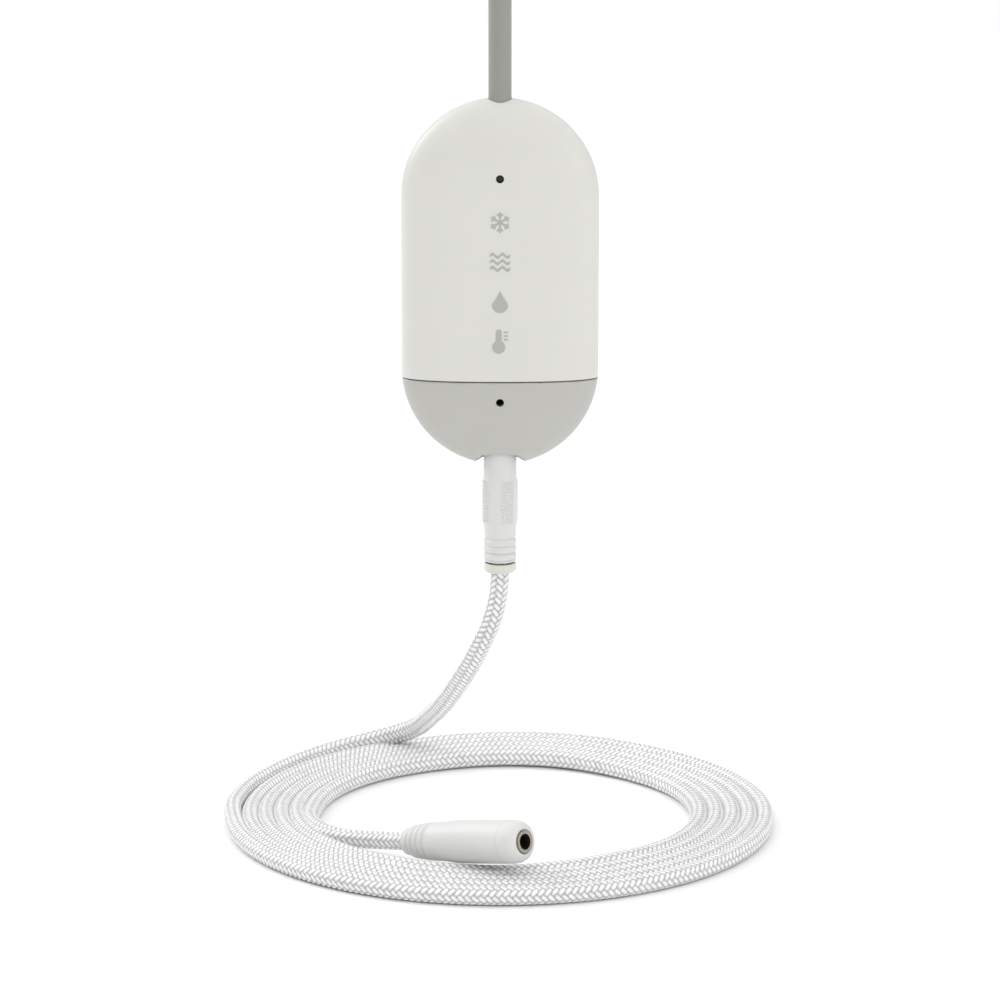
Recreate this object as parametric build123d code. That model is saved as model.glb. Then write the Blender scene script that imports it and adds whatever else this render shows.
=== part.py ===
from build123d import *
import math
import os

# In-line water leak and temperature sensor on a lead, with a plug-in braided sensing cable.
# Frame: origin at the shoulder of the supply plug's pin, +Z up along the lead, the pod hangs
# below it with its front towards -Y. Lengths are millimetres.

# ---- driving dimensions --------------------------------------------------------------------
# pod
POD_WIDTH = 45.5
POD_HEIGHT = 85.2
POD_FRONT = 7.7          # depth of the domed front, from the lead's axis
POD_BACK = 8.3           # depth of the flat back, from the lead's axis
FRONT_POWER = 2.35       # exponent of the front dome's superellipse
BACK_CORNER = 8.0
WALL = 1.8
PARTING_Y = 1.5          # where the front cover meets the rear shell
SEAM_RISE = 20.6         # seam of the lower cap, above the pod's lowest point
SEAM_GAP = 0.35
PARTING_GAP = 0.2
LIP_INSET = 0.9          # the tongues take the inner half of the wall
LIP_LENGTH = 1.6
FIT = 0.05               # clearance of pieces that are fitted into each other
LIP_FIT = 0.14           # clearance between a tongue and the rim outside it

# lead and its plug
LEAD_D = 5.3
LEAD_FREE = 30.0         # taut lead between its plug and the pod
LEAD_PLUG_BODY = 28.0
PIN_R = 1.75             # 3.5 mm connector
PIN_LENGTH = 14.0
BORE_R = 1.8             # bore of a 3.5 mm socket
SOCKET_DEPTH = 14.8

# sensing cable
CABLE_D = 4.8
COIL_OUTER_R = 65.4
COIL_INNER_R = 45.2
POD_ABOVE_FLOOR = 86.8

# jack recess
RECESS_X = 12.2
RECESS_Y = 9.2
RECESS_DEPTH = 5.0
RECESS_WALL = 1.5

# ---- heights worked out from them ----------------------------------------------------------
POD_TOP = -(LEAD_PLUG_BODY + LEAD_FREE)
POD_BOTTOM = POD_TOP - POD_HEIGHT
END_R = POD_WIDTH / 2
TOP_ARC = POD_TOP - END_R
BOTTOM_ARC = POD_BOTTOM + END_R
SEAM = POD_BOTTOM + SEAM_RISE
FLOOR = POD_BOTTOM - POD_ABOVE_FLOOR
BIG = 300.0

LIGHT_Z = FLOOR + 154.3          # status light, near the top of the front
PORT_Z = FLOOR + 102.6           # air port, in the lower cap
BOARD_FRONT = 3.1
BOARD_THICK = 1.0

parts = {}


def slab(x, y, z):
    """A box given by its three ranges."""
    size = [b - a for a, b in (x, y, z)]
    middle = [(a + b) / 2 for a, b in (x, y, z)]
    return Pos(*middle) * Box(*size)


def rod(radius, z_low, z_high):
    """A cylinder along the lead's axis."""
    return Pos(0, 0, (z_low + z_high) / 2) * Cylinder(radius, z_high - z_low)


def rod_y(radius, x, z, y_low, y_high):
    """A cylinder from front to back."""
    return Pos(x, (y_low + y_high) / 2, z) * Rot(90, 0, 0) * Cylinder(radius, y_high - y_low)


def turned(outline):
    """A solid of revolution about Z from (radius, z) points."""
    return revolve(make_face(Polyline(*[(r, 0, z) for r, z in outline], close=True)), Axis.Z)


# ---- pod form: extruded middle with revolved ends ------------------------------------------
def pod_form(inset):
    """The pod's outside as one solid, drawn in by inset all round."""
    half = POD_WIDTH / 2 - inset
    back = POD_BACK - inset
    front = POD_FRONT - inset
    corner = BACK_CORNER - inset
    bend = corner * math.sqrt(0.5)
    dome = []
    for step in range(13):
        angle = math.radians(90 * step / 12)
        across = half * max(math.cos(angle), 0) ** (2 / FRONT_POWER)
        deep = front * math.sin(angle) ** (2 / FRONT_POWER)
        dome.append((across, -deep))
    section = make_face([
        Line((0, back), (half - corner, back)),
        ThreePointArc(
            (half - corner, back),
            (half - corner + bend, back - corner + bend),
            (half, back - corner),
        ),
        Line((half, back - corner), (half, 0)),
        Spline(
            *dome[:-1], (0, -front), tangents=[(0, -1), (-1, 0)], tangent_scalars=[1, 1]
        ),
        Line((0, -front), (0, back)),
    ])
    low_end = revolve(section, axis=Axis.Y, revolution_arc=180)
    if low_end.bounding_box().max.Z > 1:
        low_end = mirror(low_end, about=Plane.XY)
    middle = extrude(Pos(0, 0, BOTTOM_ARC) * section, amount=TOP_ARC - BOTTOM_ARC, dir=(0, 0, 1))
    return (
        middle
        + mirror(middle, about=Plane.YZ)
        + Pos(0, 0, BOTTOM_ARC) * low_end
        + Pos(0, 0, TOP_ARC) * mirror(low_end, about=Plane.XY)
    )


outer_form = pod_form(0)
lip_form = pod_form(LIP_INSET)
lip_space = pod_form(LIP_INSET - LIP_FIT)
inner_form = pod_form(WALL)
shell = outer_form - inner_form
lip = lip_form - inner_form

everywhere = (-BIG, BIG)
above_seam = slab(everywhere, everywhere, (SEAM + SEAM_GAP / 2, BIG))
below_seam = slab(everywhere, everywhere, (-BIG, SEAM - SEAM_GAP / 2))
ahead = slab(everywhere, (-BIG, PARTING_Y - PARTING_GAP / 2), everywhere)
behind = slab(everywhere, (PARTING_Y + PARTING_GAP / 2, BIG), everywhere)

# ---- screws that close the pod -------------------------------------------------------------
SCREW_X = 11.0
SCREW_ZS = (POD_TOP - 15.0, SEAM + 10.5)
SCREW_R = 0.95
SCREW_HEAD_R = 1.9
SCREW_SEAT_Y = 5.7
SCREW_HEAD = 1.6
screw_places = [(x, z) for x in (-SCREW_X, SCREW_X) for z in SCREW_ZS]


def cross_screw(x, z, seat_y, tip_y, radius, head_radius, head, facing):
    """A cross-head screw along Y whose head stands on seat_y; facing is +1 towards the back."""
    head_end = seat_y + facing * head
    shape = rod_y(radius, x, z, min(seat_y, tip_y), max(seat_y, tip_y))
    shape += rod_y(head_radius, x, z, min(seat_y, head_end), max(seat_y, head_end))
    slot_y = sorted((head_end, head_end - facing * head * 0.5))
    length = head_radius * 0.62
    width = head_radius * 0.16
    shape -= slab((x - length, x + length), slot_y, (z - width, z + width))
    shape -= slab((x - width, x + width), slot_y, (z - length, z + length))
    return shape


parts["case_screws"] = [
    cross_screw(x, z, SCREW_SEAT_Y, -3.4, SCREW_R, SCREW_HEAD_R, SCREW_HEAD, 1)
    for x, z in screw_places
]

# ---- front cover ---------------------------------------------------------------------------
LIGHT_HOLE_R = 0.93
LEAD_HOLE_R = LEAD_D / 2 + 0.1
BOSS_R = 2.3

front_cover = shell & ahead & above_seam
front_cover -= lip_space & slab(everywhere, (PARTING_Y - LIP_LENGTH - FIT, BIG), everywhere)
front_cover -= lip_space & slab(everywhere, everywhere, (-BIG, SEAM + LIP_LENGTH + FIT))
for x, z in screw_places:
    boss = rod_y(BOSS_R, x, z, -6.4, BOARD_FRONT - FIT) & outer_form
    front_cover += boss - rod_y(SCREW_R + FIT, x, z, -3.6, BIG / 2)
front_cover -= rod(LEAD_HOLE_R, POD_TOP - 10, POD_TOP + 5)
front_cover -= rod_y(LIGHT_HOLE_R, 0, LIGHT_Z, -BIG / 2, 0)
parts["front_cover"] = front_cover

# ---- rear shell, with the posts of the lead clamp ------------------------------------------
CLAMP_Z = POD_TOP - 10.1
CLAMP_POST_X = 4.9
CLAMP_POST_R = 1.6
GROMMET_R = 3.0
CLAMP_SCREW_R = 0.7
COUNTERBORE_R = 2.1
inner_back = POD_BACK - WALL

rear_shell = shell & behind & above_seam
rear_lip = lip & slab(everywhere, (PARTING_Y - LIP_LENGTH, PARTING_Y + PARTING_GAP), everywhere)
rear_shell += rear_lip & slab(everywhere, everywhere, (SEAM + SEAM_GAP, BIG))
rear_shell -= lip_space & slab(everywhere, (-BIG, 3.0), (-BIG, SEAM + LIP_LENGTH + FIT))
rear_shell -= (lip_space - inner_form) & slab(
    everywhere, everywhere, (-BIG, SEAM + LIP_LENGTH + FIT)
)
for x, z in screw_places:
    pillar = rod_y(BOSS_R + 0.3, x, z, BOARD_FRONT + BOARD_THICK + FIT, POD_BACK - 0.5)
    rear_shell += pillar
    rear_shell -= rod_y(SCREW_R + 0.15, x, z, 0, POD_BACK + 1)
    rear_shell -= rod_y(COUNTERBORE_R, x, z, SCREW_SEAT_Y, POD_BACK + 1)
for x in (-CLAMP_POST_X, CLAMP_POST_X):
    rear_shell += rod_y(CLAMP_POST_R, x, CLAMP_Z, -GROMMET_R - FIT, inner_back + 0.5)
    rear_shell -= rod_y(CLAMP_SCREW_R + FIT / 2, x, CLAMP_Z, -GROMMET_R - 1, 1.0)
rear_shell += slab((-2, 2), (GROMMET_R + FIT, inner_back + 0.5), (CLAMP_Z - 1.5, CLAMP_Z + 1.5))
rear_shell -= rod(LEAD_HOLE_R, CLAMP_Z + 3, POD_TOP + 5)
parts["rear_shell"] = rear_shell

# ---- lower cap, with the jack recess and the air port --------------------------------------
RECESS_FLOOR = POD_BOTTOM + RECESS_DEPTH
JACK_SEAT = RECESS_FLOOR + RECESS_WALL
NOSE_R = 2.9
PORT_R = 0.93
PORT_BOSS_R = 2.6
PORT_FACE_Y = -5.3

lower_cap = shell & below_seam
lower_cap += lip & slab(everywhere, everywhere, (SEAM - SEAM_GAP, SEAM + LIP_LENGTH))
tub = Pos(0, 0, POD_BOTTOM - 5) * extrude(
    SlotOverall(RECESS_X + 2 * RECESS_WALL, RECESS_Y + 2 * RECESS_WALL),
    amount=JACK_SEAT - POD_BOTTOM + 5,
)
lower_cap += tub & outer_form
lower_cap -= Pos(0, 0, POD_BOTTOM - 5) * extrude(
    SlotOverall(RECESS_X, RECESS_Y), amount=RECESS_DEPTH + 5
)
lower_cap -= rod(NOSE_R + FIT, POD_BOTTOM, JACK_SEAT + 1)
lower_cap += rod_y(PORT_BOSS_R, 0, PORT_Z, -7.0, PORT_FACE_Y) & outer_form
lower_cap -= rod_y(PORT_R, 0, PORT_Z, -BIG / 2, 0)
parts["lower_cap"] = lower_cap

# silicone cord in the seam
seal_band = pod_form(0.35) - lip_form
seam_heights = (SEAM - SEAM_GAP / 2, SEAM + SEAM_GAP / 2)
parts["case_seal"] = seal_band & slab(everywhere, everywhere, seam_heights)

# ---- circuit board and what stands on it ---------------------------------------------------
BOARD_WIDTH = 30.0
BOARD_TOP = POD_TOP - 12.0
BOARD_BOTTOM = JACK_SEAT + 0.7
BOARD_CORNER = 10.0
board_middle = (BOARD_TOP + BOARD_BOTTOM) / 2

board = Pos(0, BOARD_FRONT, board_middle) * Rot(-90, 0, 0) * extrude(
    RectangleRounded(BOARD_WIDTH, BOARD_TOP - BOARD_BOTTOM, BOARD_CORNER), amount=BOARD_THICK
)
for x, z in screw_places:
    board -= rod_y(SCREW_R + 0.25, x, z, 0, POD_BACK)
parts["circuit_board"] = board


def chip(x, z, width, height, thick):
    """A flat component on the board's front face."""
    return slab(
        (x - width / 2, x + width / 2),
        (BOARD_FRONT - thick, BOARD_FRONT),
        (z - height / 2, z + height / 2),
    )


CHIP_Z = POD_TOP - 39.0
parts["controller_chip"] = chip(0, CHIP_Z, 7.0, 7.0, 0.9)
parts["sense_amplifier"] = chip(0, CHIP_Z - 11.0, 4.0, 5.0, 1.2)
parts["board_passives"] = [
    chip(side * (6.0 + 1.9 * column), CHIP_Z + 4.5 - 2.4 * row, 1.0, 1.6, 0.5)
    for side in (-1, 1)
    for column in range(2)
    for row in range(5)
]
LED_THICK = 0.7
parts["status_led"] = chip(0, LIGHT_Z, 1.6, 0.8, LED_THICK)

# light pipe from the diode to the front
PIPE_R = 0.88
PIPE_FLANGE_Y = -5.5
pipe = rod_y(PIPE_R, 0, LIGHT_Z, -7.45, BOARD_FRONT - LED_THICK - 0.1)
parts["light_pipe"] = pipe + rod_y(1.5, 0, LIGHT_Z, PIPE_FLANGE_Y, PIPE_FLANGE_Y + 0.6)

# ---- lead: jacket, sleeve, clamp, wires and board connector --------------------------------
LEAD_END = CLAMP_Z - 2.9
parts["supply_lead"] = rod(LEAD_D / 2, LEAD_END, -LEAD_PLUG_BODY)
grommet = rod(GROMMET_R, CLAMP_Z - 2.1, CLAMP_Z + 2.6)
parts["lead_sleeve"] = grommet - rod(LEAD_D / 2 + 0.02, CLAMP_Z - 5, CLAMP_Z + 5)

CLAMP_THICK = 1.0
CLAMP_HALF = 6.5
clamp_bar = slab(
    (-CLAMP_HALF, CLAMP_HALF),
    (-GROMMET_R - FIT - CLAMP_THICK, -GROMMET_R - FIT),
    (CLAMP_Z - 1.5, CLAMP_Z + 1.5),
)
clamp_face = -GROMMET_R - FIT - CLAMP_THICK
for x in (-CLAMP_POST_X, CLAMP_POST_X):
    clamp_bar -= rod_y(CLAMP_SCREW_R + 0.1, x, CLAMP_Z, -8, 0)
parts["lead_clamp"] = clamp_bar
parts["clamp_screws"] = [
    cross_screw(x, CLAMP_Z, clamp_face, 0.4, CLAMP_SCREW_R, 1.1, 0.45, -1)
    for x in (-CLAMP_POST_X, CLAMP_POST_X)
]

HOUSING_TOP = LIGHT_Z - 1.3
HOUSING_HALF = 4.6
WIRE_R = 0.4
WIRE_Y = 0.75
wires = []
for side in (-1, 1):
    for start_x, start_y, spread in ((0.6, -0.6, 1.7), (0.75, 0.7, 3.5)):
        line = FilletPolyline(
            (side * start_x, start_y, LEAD_END),
            (side * start_x, start_y, LEAD_END - 0.8),
            (side * spread, WIRE_Y, LEAD_END - 2.6),
            (side * spread, WIRE_Y, HOUSING_TOP),
            radius=0.6,
        )
        ring = Plane(origin=line @ 0, z_dir=line % 0) * Circle(WIRE_R)
        wires.append(sweep(ring, path=line))
parts["lead_wires"] = wires
parts["lead_crimp_housing"] = slab(
    (-HOUSING_HALF, HOUSING_HALF), (-0.95, 2.45), (HOUSING_TOP - 8.4, HOUSING_TOP)
)
header = slab((-5.4, 5.4), (-1.7, BOARD_FRONT), (HOUSING_TOP - 9.9, HOUSING_TOP - 2.5))
parts["board_header"] = header - slab(
    (-HOUSING_HALF - FIT, HOUSING_HALF + FIT), (-1.0, 2.5), (HOUSING_TOP - 8.45, HOUSING_TOP)
)

# ---- 3.5 mm jack behind the recess ---------------------------------------------------------
PLUG_SHOULDER = RECESS_FLOOR - 0.2
PIN_TIP = PLUG_SHOULDER + PIN_LENGTH
JACK_TOP = PIN_TIP + 0.9
JACK_HALF = BOARD_FRONT
BUSH_TOP = RECESS_FLOOR + 4.6
SPRING_HALF = 0.7

jack = slab((-JACK_HALF, JACK_HALF), (-JACK_HALF, JACK_HALF), (JACK_SEAT, JACK_TOP))
jack += rod(NOSE_R, RECESS_FLOOR, JACK_SEAT + 1)
jack -= rod(BORE_R + 0.02, RECESS_FLOOR - 1, JACK_TOP - 0.5)
jack -= rod(BORE_R + 0.5 + FIT, RECESS_FLOOR - 1, BUSH_TOP + FIT)
TIP_CONTACT = PIN_TIP - 2.6
RING_CONTACT = PIN_TIP - 7.4
SLOT_LOW = 1.9
SLOT_HIGH = 1.4
for side, contact in ((1, TIP_CONTACT), (-1, RING_CONTACT)):
    x_range = sorted((side * 1.4, side * (JACK_HALF + 1)))
    y_range = (-SPRING_HALF - 0.2, SPRING_HALF + 0.2)
    jack -= slab(x_range, y_range, (contact - SLOT_LOW - 0.3, contact + SLOT_HIGH + 0.3))
parts["jack_body"] = jack
jack_bush = rod(BORE_R + 0.5, RECESS_FLOOR, BUSH_TOP)
parts["jack_bush"] = jack_bush - rod(BORE_R, RECESS_FLOOR - 1, BUSH_TOP + 1)


def leaf_spring(side, contact):
    """A bent leaf whose knee stands just clear of the pin."""
    thick = 0.25
    knee = BORE_R + 0.05
    outline = [
        (2.7, contact - SLOT_LOW), (knee, contact), (2.4, contact + SLOT_HIGH),
        (2.4 + thick, contact + SLOT_HIGH), (knee + thick * 1.1, contact),
        (2.7 + thick, contact - SLOT_LOW),
    ]
    face = make_face(Polyline(*[(side * x, 0, z) for x, z in outline], close=True))
    return extrude(face, amount=SPRING_HALF, both=True, dir=(0, 1, 0))


parts["jack_tip_spring"] = leaf_spring(1, TIP_CONTACT)
parts["jack_ring_spring"] = leaf_spring(-1, RING_CONTACT)

# ---- air sensor behind the port, on a flex that folds round the jack -----------------------
FLEX_Y = -3.3
FLEX_THICK = 0.5
SENSOR_THICK = 0.8
GASKET_THICK = 0.6
flex = slab((-3.2, 3.6), (FLEX_Y - FLEX_THICK, FLEX_Y), (PORT_Z - 3.2, PORT_Z + 3.2))
flex += slab((3.3, 3.6), (FLEX_Y - FLEX_THICK, BOARD_FRONT), (PORT_Z - 1.5, PORT_Z + 1.5))
parts["sensor_flex"] = flex
sensor_y = FLEX_Y - FLEX_THICK
parts["climate_sensor"] = slab(
    (-1.25, 1.25), (sensor_y - SENSOR_THICK, sensor_y), (PORT_Z - 1.25, PORT_Z + 1.25)
)
gasket_y = sensor_y - SENSOR_THICK
gasket = rod_y(2.3, 0, PORT_Z, gasket_y - GASKET_THICK, gasket_y)
parts["port_gasket"] = gasket - rod_y(PORT_R, 0, PORT_Z, -8, 0)
parts["port_membrane"] = rod_y(2.2, 0, PORT_Z, PORT_FACE_Y, PORT_FACE_Y + 0.1)


# ---- 3.5 mm pin, used on the supply plug and on the sensing cable's plug -------------------
def pin_pieces(poles):
    """Pin pieces standing on z = 0: sleeve, rings, tip and the insulators between them."""
    core_r = 0.6
    tube_r = 1.05
    washer = 0.7
    ring_length = 2.2
    tip_length = 3.9
    tip_start = PIN_LENGTH - tip_length
    sleeve_end = tip_start - (poles - 1) * washer - (poles - 2) * ring_length
    sleeve = rod(PIN_R, 0, sleeve_end) - rod(tube_r + 0.02, -10, sleeve_end + 1)
    sleeve += rod(2.6, -1.6, 0) - rod(tube_r + 0.02, -10, 1)
    sleeve += rod(PIN_R, -12, -1.6) - rod(tube_r + 0.02, -20, 1)
    rings = []
    insulator = rod(tube_r, -12, tip_start) - rod(core_r + 0.02, -20, BIG / 2)
    for pole in range(poles - 1):
        low = sleeve_end + pole * (washer + ring_length)
        insulator += rod(PIN_R, low, low + washer) - rod(core_r + 0.02, -20, BIG / 2)
        if pole < poles - 2:
            ring_low = low + washer
            rings.append(
                rod(PIN_R, ring_low, ring_low + ring_length) - rod(tube_r + 0.02, 0, BIG / 2)
            )
    tip = turned([
        (0, -12), (core_r, -12), (core_r, tip_start), (PIN_R, tip_start), (PIN_R, tip_start + 0.5),
        (1.15, tip_start + 1.3), (1.7, tip_start + 2.4), (1.5, tip_start + 3.0),
        (0.75, tip_start + 3.75), (0.35, PIN_LENGTH), (0, PIN_LENGTH),
    ])
    return sleeve, rings, tip, insulator


def pin_cavity():
    """What a moulding leaves free for the pin's tail."""
    return rod(2.6 + FIT, -1.6 - FIT, 1) + rod(PIN_R + FIT, -12 - FIT, 0)


# ---- supply plug on the end of the lead ----------------------------------------------------
sleeve, rings, tip, insulator = pin_pieces(4)
parts["lead_plug_sleeve"] = sleeve
parts["lead_plug_rings"] = rings
parts["lead_plug_tip"] = tip
parts["lead_plug_insulator"] = insulator
LEAD_PLUG_R = 4.3
RIB_COUNT = 5
RIB_PITCH = 1.9
outline = [
    (0, 0), (3.1, 0), (3.1, -0.6), (LEAD_PLUG_R - 0.5, -0.6), (LEAD_PLUG_R, -1.1),
    (LEAD_PLUG_R, -15.0),
]
rib_top = -16.6
for rib in range(RIB_COUNT):
    top = rib_top - rib * RIB_PITCH
    rib_r = 4.0 - 0.14 * rib
    outline += [(rib_r, top), (rib_r, top - 1.3)]
    outline += [(rib_r - 0.5, top - 1.35), (rib_r - 0.5, top - RIB_PITCH)]
outline += [(3.3, -LEAD_PLUG_BODY + 1.2), (3.0, -LEAD_PLUG_BODY), (0, -LEAD_PLUG_BODY)]
parts["lead_plug_moulding"] = turned(outline) - pin_cavity()

# ---- plug of the sensing cable -------------------------------------------------------------
sleeve, rings, tip, insulator = pin_pieces(3)
at_shoulder = Pos(0, 0, PLUG_SHOULDER)
parts["plug_sleeve"] = at_shoulder * sleeve
parts["plug_ring"] = at_shoulder * rings[0]
parts["plug_tip"] = at_shoulder * tip
parts["plug_insulator"] = at_shoulder * insulator

PLUG_END = FLOOR + 63.8
COLLAR_TOP = FLOOR + 63.3
CORD_EXIT = FLOOR + 61.2
NECK_R = 3.83
PAD_TOP = FLOOR + 83.3
PAD_BOTTOM = FLOOR + 72.9
PAD_R = 4.17
PAD_ARC = 50.0
PAD_FIRST = -63.0
GROOVE_ZS = (69.3, 67.5, 65.8, 64.2)
GROOVE_WIDTH = 0.5
CRIMP_R = 2.9
COLLAR_R = 3.72

outline = [
    (0, PLUG_SHOULDER), (NECK_R - 0.3, PLUG_SHOULDER), (NECK_R, PLUG_SHOULDER - 0.3),
    (NECK_R, PAD_TOP + 1.0), (NECK_R + 0.1, PAD_TOP), (NECK_R + 0.12, PAD_BOTTOM),
    (3.76, PAD_BOTTOM - 1.9),
]
for height in GROOVE_ZS:
    z = FLOOR + height
    outline += [
        (3.74, z + GROOVE_WIDTH / 2), (3.48, z + 0.1), (3.48, z - 0.1), (3.74, z - GROOVE_WIDTH / 2)
    ]
outline[-1] = (3.6, PLUG_END)
outline += [(0, PLUG_END)]
moulding = turned(outline)
for quarter in range(4):
    pad_face = make_face(Polyline(
        (NECK_R - 0.3, 0, PAD_BOTTOM), (PAD_R - 0.1, 0, PAD_BOTTOM), (PAD_R, 0, PAD_BOTTOM + 0.3),
        (PAD_R, 0, PAD_TOP - 0.3), (PAD_R - 0.1, 0, PAD_TOP), (NECK_R - 0.3, 0, PAD_TOP), close=True,
    ))
    pad = revolve(pad_face, Axis.Z, revolution_arc=PAD_ARC)
    moulding += Rot(0, 0, PAD_FIRST - PAD_ARC / 2 + 90 * quarter) * pad
moulding -= at_shoulder * pin_cavity()
moulding -= rod(CRIMP_R + FIT, PLUG_END - 1, PLUG_END + 6)
parts["plug_moulding"] = moulding
collar = turned([
    (0, CORD_EXIT), (COLLAR_R - 0.45, CORD_EXIT), (COLLAR_R, CORD_EXIT + 0.45),
    (COLLAR_R, COLLAR_TOP - 0.15), (COLLAR_R - 0.15, COLLAR_TOP), (0, COLLAR_TOP),
])
parts["plug_collar"] = collar - rod(CRIMP_R + FIT, CORD_EXIT + 0.9, COLLAR_TOP + 1)
parts["plug_crimp_sleeve"] = rod(CRIMP_R, CORD_EXIT + 0.9, PLUG_END + 5.9)

# ---- sensing cable -------------------------------------------------------------------------
CORD_R = CABLE_D / 2
ENTRY_R = 63.6
TAIL_R = 45.0


def on_floor(points):
    """Route points given with their height above the floor."""
    return [(x, y, FLOOR + height) for x, y, height in points]


# from the plug down behind the coil, then round its outside to the left
hanging_route = on_floor([
    (0, 0, 61.2), (0, 0, 53.4), (-5.5, 4.4, 39.5), (-12.9, 25.0, 23.0), (-17.1, 41.5, 15.2),
    (-20.6, 54.8, 10.3), (-28.6, 62.9, 6.0), (-40.8, 60.8, 2.6), (-51.8, 44.5, 2.4),
    (-60.8, 25.0, 2.4), (-ENTRY_R, 9.0, 2.4), (-ENTRY_R, 0, 2.4),
])
SPLIT_RUN = 7            # the hanging tube ends half way along this run, on the floor

# socket pose: its back end and its face
SOCKET_BACK = Vector(-20.9, -31.7, FLOOR + 5.1)
SOCKET_FACE = Vector(5.6, -54.3, FLOOR + 12.0)
socket_axis = (SOCKET_FACE - SOCKET_BACK).normalized()
SOCKET_LENGTH = (SOCKET_FACE - SOCKET_BACK).length
lead_in = SOCKET_BACK - socket_axis * 7.0
tail_route = on_floor([(-TAIL_R, 0, 2.4), (-TAIL_R, -8.5, 2.4), (-39.4, -20.0, 2.6)])
tail_route += [tuple(lead_in), tuple(SOCKET_BACK)]


def corner_radii(route):
    """Largest arcs that the runs allow: 0.45 of the shorter run over the tangent of half the turn."""
    radii = []
    for before, at, after in zip(route, route[1:], route[2:]):
        run_in = Vector(*at) - Vector(*before)
        run_out = Vector(*after) - Vector(*at)
        turn = math.radians(run_in.get_angle(run_out))
        radii.append(0.45 * min(run_in.length, run_out.length) / math.tan(turn / 2))
    return radii


def cord_tube(points, radii, name):
    """A tube along straight runs joined by tangent arcs."""
    line = FilletPolyline(*points, radius=radii)
    tube = sweep(Plane(origin=line @ 0, z_dir=line % 0) * Circle(CORD_R), path=line)
    expected = math.pi * CORD_R ** 2 * line.length
    print(name, "radii", [round(r, 1) for r in radii], "length", round(line.length, 1))
    print(name, "volume over section times length", round(tube.volume / expected, 4))
    return tube


hanging_radii = corner_radii(hanging_route)
split = (Vector(*hanging_route[SPLIT_RUN]) + Vector(*hanging_route[SPLIT_RUN + 1])) * 0.5
parts["cable_drop"] = cord_tube(
    hanging_route[:SPLIT_RUN + 1] + [tuple(split)], hanging_radii[:SPLIT_RUN], "cable_drop"
)
parts["cable_run_in"] = cord_tube(
    [tuple(split)] + hanging_route[SPLIT_RUN + 1:], hanging_radii[SPLIT_RUN:], "cable_run_in"
)
parts["cable_tail"] = cord_tube(tail_route, corner_radii(tail_route), "cable_tail")


# the coil: a flat ring whose edges step in by one turn on the left, where the cable joins it
def smooth(value):
    value = min(max(value, 0.0), 1.0)
    return value * value * (3 - 2 * value)


def ring_point(radius, degrees):
    angle = math.radians(degrees)
    return (radius * math.cos(angle), radius * math.sin(angle))


def edge_curve(start, end, radius_at):
    steps = 8
    places = [start + (end - start) * step / steps for step in range(steps + 1)]
    return Spline(*[ring_point(radius_at(place), place) for place in places])


def round_arc(radius, start, end):
    middle = (start + end) / 2
    return ThreePointArc(*[ring_point(radius, place) for place in (start, middle, end)])


OUTER_STEP = COIL_OUTER_R - (ENTRY_R - CORD_R - 0.3)
INNER_STEP = COIL_INNER_R - (TAIL_R - CORD_R)
TAIL_SPACE = TAIL_R + CORD_R + 0.75 - COIL_INNER_R


def outer_radius(place):
    flare = (ENTRY_R + CORD_R - COIL_OUTER_R) * (1 - smooth((place - 180) / 30))
    return COIL_OUTER_R + flare - OUTER_STEP * smooth((place - 470) / 70)


def inner_radius(place):
    opening = TAIL_SPACE * (1 - smooth((place - 197) / 30))
    return COIL_INNER_R + opening - INNER_STEP * smooth((place - 450) / 85)


def ring_outline(radius_at, round_from):
    """A round arc between two gentle spirals, closed by the step on the left."""
    start = ring_point(radius_at(180), 180)
    end = ring_point(radius_at(540), 540)
    return make_face([
        edge_curve(180, round_from, radius_at),
        round_arc(radius_at(round_from), round_from, 450),
        edge_curve(450, 540, radius_at),
        Line(end, start),
    ])


coil_face = ring_outline(outer_radius, 210) - ring_outline(inner_radius, 227)
parts["cable_coil"] = Pos(0, 0, FLOOR) * extrude(coil_face, amount=CABLE_D)


# ---- socket on the far end of the sensing cable --------------------------------------------
socket_frame = Plane(origin=SOCKET_BACK, z_dir=socket_axis).location
SOCKET_R = 4.95
BUSH_R = 2.55
BUSH_LENGTH = 4.0
CONTACT_R = 2.15


def place_socket(shape):
    return socket_frame * shape


END = SOCKET_LENGTH
BACK_COLLAR = 2.3
parts["socket_collar"] = place_socket(turned([
    (0, 0), (2.9, 0), (3.15, 0.3), (3.45, BACK_COLLAR), (0, BACK_COLLAR),
]))
outline = [(0, BACK_COLLAR + 0.1), (3.45, BACK_COLLAR + 0.1)]
for rib, rib_r in enumerate((3.85, 4.1, 4.3)):
    low = BACK_COLLAR + 0.3 + 1.85 * rib
    outline += [(rib_r - 0.1, low), (rib_r, low + 0.25), (rib_r + 0.05, low + 1.15)]
    outline += [(rib_r - 0.35, low + 1.4), (rib_r - 0.35, low + 1.6)]
outline += [
    (4.4, 8.2), (4.5, 12.0), (4.8, 14.4), (SOCKET_R, 16.5), (SOCKET_R, END - 5.0),
    (SOCKET_R - 0.15, END - 4.8), (SOCKET_R - 0.15, END - 4.5), (SOCKET_R - 0.02, END - 4.3),
    (SOCKET_R - 0.02, END - 3.2), (4.75, END - 1.9), (4.3, END - 0.95), (3.7, END - 0.4),
    (3.1, END - 0.2), (0, END - 0.2),
]
moulding = turned(outline)
moulding -= rod(BUSH_R + FIT, END - SOCKET_DEPTH - 1.5, END + 1)
parts["socket_moulding"] = place_socket(moulding)
bush = rod(BUSH_R, END - BUSH_LENGTH, END) - rod(BORE_R, END - 20, END + 1)
parts["socket_bush"] = place_socket(bush)
carrier_low = END - SOCKET_DEPTH - 1.4
carrier_high = END - BUSH_LENGTH - 0.02
carrier = rod(BUSH_R, carrier_low, carrier_high) - rod(BORE_R, END - SOCKET_DEPTH, END)
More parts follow.
